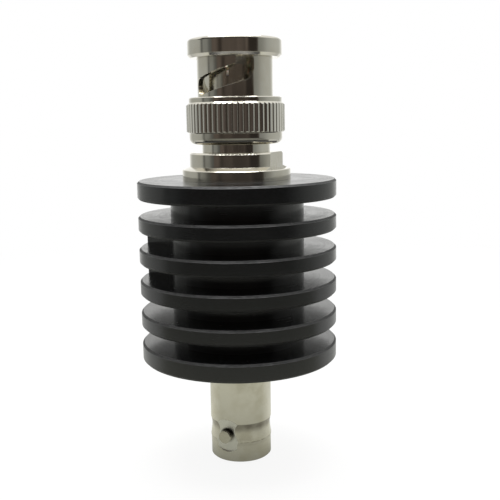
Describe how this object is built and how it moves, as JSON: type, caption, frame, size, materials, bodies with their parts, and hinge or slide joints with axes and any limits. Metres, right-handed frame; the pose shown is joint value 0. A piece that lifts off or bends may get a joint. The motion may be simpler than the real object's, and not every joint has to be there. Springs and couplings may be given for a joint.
{
  "type": "coaxial attenuator",
  "caption": "Inline coaxial power attenuator: black finned round body with a label pad, a bayonet plug with a slotted knurled coupling nut on top and a bayonet jack below.",
  "frame": {"origin": "on the axis, at the jack's open end face, on which the part stands", "axes": "+Z along the axis from the jack to the plug; the picture looks along +Y with +X to its right"},
  "size_m": [0.0306, 0.0304, 0.0649],
  "materials": {
    "anodised_aluminium": "black anodised, semi-gloss, fine turning marks",
    "nickel_plate": "bright nickel plate over turned brass",
    "nickel_nut": "bright nickel plate, knurled band",
    "nickel_jack": "bright nickel plate over turned brass",
    "nickel_contact": "nickel plated spring metal",
    "spring_steel": "plain spring steel",
    "silicone": "matt grey silicone rubber",
    "ptfe": "smooth waxy white fluoroplastic",
    "gold_plate": "gold plate over copper alloy",
    "brass_block": "machined brass",
    "ceramic": "fine matt ceramic"
  },
  "bodies": {
    "attenuator": {"heat_sink": "anodised_aluminium", "plug_body": "nickel_plate", "wave_washer": "spring_steel", "front_thrust_washer": "spring_steel", "retaining_ring": "spring_steel", "plug_outer_contact": "nickel_contact", "plug_gasket": "silicone", "plug_insulator": "ptfe", "plug_pin": "gold_plate", "carrier_base": "brass_block", "carrier_cover": "brass_block", "chip_substrate": "ceramic", "chip_lid": "ceramic", "input_tab": "gold_plate", "output_tab": "gold_plate", "jack_body": "nickel_jack", "jack_insulator": "ptfe", "jack_socket": "gold_plate"},
    "rear_washer": {"rear_thrust_washer": "spring_steel"},
    "nut": {"coupling_nut": "nickel_nut", "nut_front_ring": "nickel_nut"}
  },
  "joints": [
    {"name": "nut_pull", "type": "slide", "parent": "attenuator", "child": "rear_washer", "axis": [0, 0, 1], "range_m": [0, 0.0005], "stiffness_N_per_m": 20000, "deforming": ["wave_washer"]},
    {"name": "nut_spin", "type": "hinge", "parent": "rear_washer", "child": "nut", "pos_m": [0, 0, 0.056], "axis": [0, 0, 1], "continuous": true}
  ]
}
